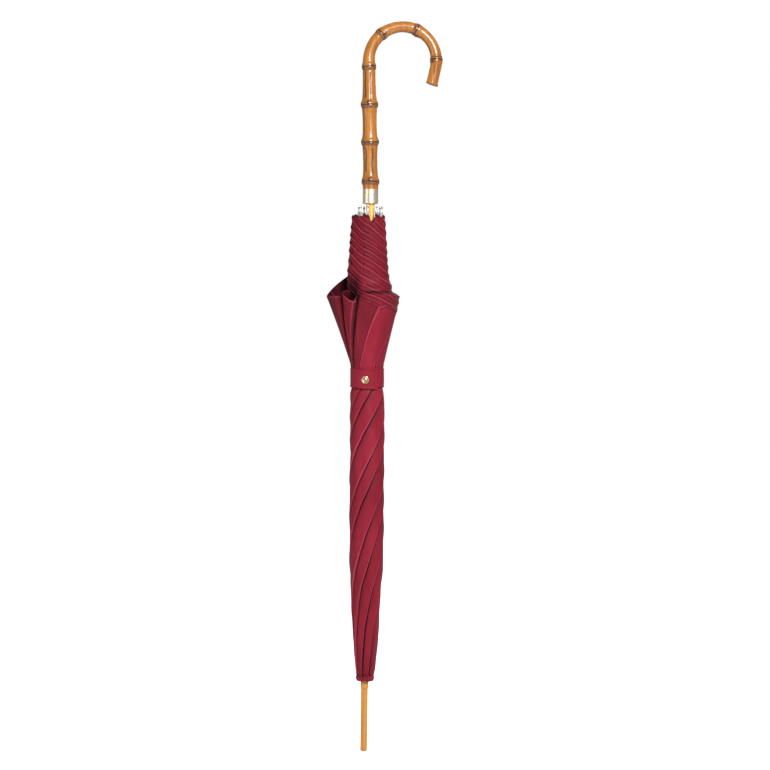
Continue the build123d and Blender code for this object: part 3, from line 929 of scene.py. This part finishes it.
# ---- strap and snap ----
STRAP_LOW, STRAP_HIGH = 445.5, 468.5
STRAP_STOPS = [-117.0, -57.5, 62.5, 182.5, 303.6]     # azimuths of its ends and of its three bends
STRAP_THICK = 0.75
STRAP_SHIFT = -1.4                 # the furled cloth under it lies this far to the left
BEND_REACH = 24.0                  # degrees on each side of a bend that it is spread over
SNAP_AZIMUTH = -95.5
SNAP_TURN = 259.0                  # the same place in degrees along the strap, nearly
SNAP_DROP = 2.7                    # below the middle of the CAD cap


def strap_inner(degrees):
    """Inner radius of the band, which climbs onto its own sewn end before the snap."""
    return 19.8 + 1.3 * smoothstep(degrees, 183.0, 238.0)


def strap_drop(degrees):
    """The free end hangs a little lower than the rest of the band."""
    return -2.8 * smoothstep(degrees, 190.0, 300.0)


def strap_length(name, start, stop, hinge, bodies, stands_for):
    """A hemmed length of the band from one azimuth to another, bending with the joint at the hinge."""
    turns = np.linspace(start, stop, int((stop - start) / 2.5) + 2)
    across = np.linspace(0, 1, 25)
    wide = STRAP_HIGH - STRAP_LOW
    edge = np.minimum(across, 1 - across) * wide
    hem = 0.28 * (1 - smoothstep(edge, 2.4, 2.9)) - 0.22 * bell(edge - 2.0, 0.35)
    outer = STRAP_THICK + hem + 0.12 * np.sin(math.pi * across)
    loop_radius = np.concatenate([np.zeros(len(across)), outer[::-1]])
    loop_across = np.concatenate([across, across[::-1]])
    rings, weights = [], []
    for degrees in turns:
        turn = math.radians(degrees)
        wrinkle = 0.1 * np.sin(np.radians(degrees * 9) + loop_across * 5)
        radius = strap_inner(degrees) + loop_radius + wrinkle * (loop_radius > 0)
        z = STRAP_LOW + wide * loop_across + float(strap_drop(degrees))
        x = radius * math.cos(turn) + STRAP_SHIFT
        rings.append(np.stack([x, radius * math.sin(turn), z], axis=1))
        bent = float(smoothstep(degrees, hinge - BEND_REACH, hinge + BEND_REACH))
        weights.append(np.full(len(radius), bent))
    rings = np.stack(rings)
    rows, columns = rings.shape[:2]
    faces = grid_faces(rows, columns, closed=True)
    for row, flip in ((0, False), (rows - 1, True)):
        first = row * columns
        last = first + columns - 1
        for c in range(len(across) - 1):
            quad = (first + c, first + c + 1, last - c - 1, last - c)
            faces.append(tuple(reversed(quad)) if flip else quad)
    piece = mesh_object(name, rings.reshape(-1, 3), faces, "strap")
    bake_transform(piece, *bodies, start=(0, 0, 0), end=(0, 0, 1))
    set_blend(piece, np.concatenate(weights))
    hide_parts(*stands_for)


def make_strap():
    right_middle = (STRAP_STOPS[1] + STRAP_STOPS[2]) / 2
    back_middle = (STRAP_STOPS[2] + STRAP_STOPS[3]) / 2
    strap_length("strap_sewn_end", STRAP_STOPS[0], right_middle, STRAP_STOPS[1],
                 ("rib_1", "strap_right"), ("strap_root",))
    strap_length("strap_middle", right_middle, back_middle, STRAP_STOPS[2],
                 ("strap_right", "strap_back"), ("strap_right", "strap_back"))
    strap_length("strap_free_end", back_middle, STRAP_STOPS[4], STRAP_STOPS[3],
                 ("strap_back", "strap_front"), ("strap_front",))


def turned_piece(name, profile, turns, paint, corners=0, lift=0.0, ends=True):
    """A lathe-turned piece from (radius, height) pairs; corners and lift make its outline many-sided."""
    angles = np.radians(np.arange(turns) * 360 / turns)
    wave = 1 + lift * np.cos(angles * corners)
    rings = []
    for radius, height in profile:
        x, y = radius * wave * np.cos(angles), radius * wave * np.sin(angles)
        rings.append(np.stack([x, y, np.full(turns, float(height))], axis=1))
    faces = grid_faces(len(profile), turns, closed=True)
    if ends:
        faces += end_faces(len(profile), turns)
    return mesh_object(name, np.concatenate(rings), faces, paint)


def make_snap():
    low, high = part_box("snap_cap")
    middle = (low + high) / 2
    turn = math.radians(SNAP_AZIMUTH)
    out = mathutils.Vector((math.cos(turn), math.sin(turn), 0))
    seat = float(strap_inner(SNAP_TURN)) + STRAP_THICK
    place = mathutils.Vector((out.x * seat + STRAP_SHIFT, out.y * seat, middle.z / MM - SNAP_DROP)) * MM
    aim = out.to_track_quat("Z", "Y")
    ring = turned_piece("snap_ring", [
        (3.0, 0.0), (4.7, 0.0), (4.95, 0.5), (4.6, 1.1), (3.9, 1.5), (3.1, 1.35), (2.7, 0.9), (2.6, 0.2),
    ], 48, "snap", corners=6, lift=0.035)
    centre = turned_piece("snap_button", [
        (0.05, 1.25), (0.8, 1.2), (1.6, 1.05), (2.3, 0.8), (2.75, 0.4), (2.75, -0.2),
    ], 36, "copper")
    for piece in (ring, centre):
        piece.data.transform(mathutils.Matrix.Translation(place) @ aim.to_matrix().to_4x4())
        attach(piece, "strap_front")
    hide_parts("snap_cap")


# ---- rib tips and the ruffle at the crown ----
TIP_PIN = [
    (1.1, -9.5), (1.2, -9.0), (1.1, -0.8), (1.0, 0.0), (0.85, 0.9), (0.75, 4.6), (0.8, 5.2),
    (1.15, 5.6), (1.35, 6.3), (1.3, 7.0), (1.0, 7.6), (0.5, 7.95), (0.1, 8.0),
]
TIP_EYELET = [(0.9, 4.4), (1.35, 4.5), (1.5, 5.0), (1.35, 5.5), (0.9, 5.6), (0.7, 5.0), (0.9, 4.4)]
TIP_SIDES = 20
TIP_LEAN = 0.64                    # degrees that a closed rib leans outwards


def make_tips():
    for rib in range(1, GORES + 1):
        low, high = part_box(f"rib_tip_{rib}")
        foot = mathutils.Vector(((low.x + high.x) / 2, (low.y + high.y) / 2, low.z))
        pin = turned_piece(f"tip_pin_{rib}", TIP_PIN, TIP_SIDES, "silver")
        eyelet = turned_piece(f"tip_eyelet_{rib}", TIP_EYELET, TIP_SIDES, "spring", ends=False)
        out = mathutils.Vector((foot.x, foot.y, 0)).normalized()
        hinge = out.cross(mathutils.Vector((0, 0, -1)))
        tilt = mathutils.Matrix.Rotation(math.radians(TIP_LEAN), 4, hinge)
        for piece in (pin, eyelet):
            piece.data.transform(mathutils.Matrix.Translation(foot) @ tilt)
            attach(piece, f"rib_{rib}")
        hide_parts(f"rib_tip_{rib}")


def make_ruffle():
    """A gathered ring of canopy cloth pressed between the crown and the wooden collar."""
    turns = 120
    angles = np.radians(np.arange(turns) * 360 / turns)
    wave = np.sin(angles * 7) + 0.5 * np.sin(angles * 11 + 1)
    inner = np.stack([5.2 * np.cos(angles), 5.2 * np.sin(angles), np.full(turns, 85.7)], axis=1)
    rings = [inner]
    for share in np.linspace(0, 1, 22):
        roll = math.radians(-100 + 290 * share)
        radius = 9.2 + 0.35 * wave + (1.5 + 0.25 * wave) * math.cos(roll)
        height = np.clip(89.2 + 0.5 * wave + 3.2 * math.sin(roll), 85.6, 93.2)
        rings.append(np.stack([radius * np.cos(angles) + 0.5, radius * np.sin(angles), height], axis=1))
    faces = grid_faces(len(rings), turns, closed=True)
    piece = mesh_object("crown_ruffle", np.concatenate(rings), faces, "cloth")
    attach(piece, "shaft")
    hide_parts("rosette")


# ---- finishes of the CAD pieces ----
FINISHES = {
    "shaft": "shaft", "ferrule": "ferrule", "ferrule_collar": "ferrule", "collar": "brass",
    "shaft_pins": "frame", "top_notch": "frame", "notch_wire": "spring", "runner": "frame",
    "runner_wire": "spring", "hand_spring": "spring", "top_spring": "spring", "snap_stud": "snap",
}


def finish_nodes():
    """Every CAD piece that still shows gets a paint; the rest of the frame is steel."""
    for name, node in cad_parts.items():
        paint = FINISHES.get(name, "steel")
        node.data.materials.clear()
        node.data.materials.append(PAINTS[paint])


make_camera()
make_paints()
make_studio()
make_handle()
for number in range(1, GORES + 1):
    make_gore(number)
make_strap()
make_snap()
make_tips()
make_ruffle()
finish_nodes()
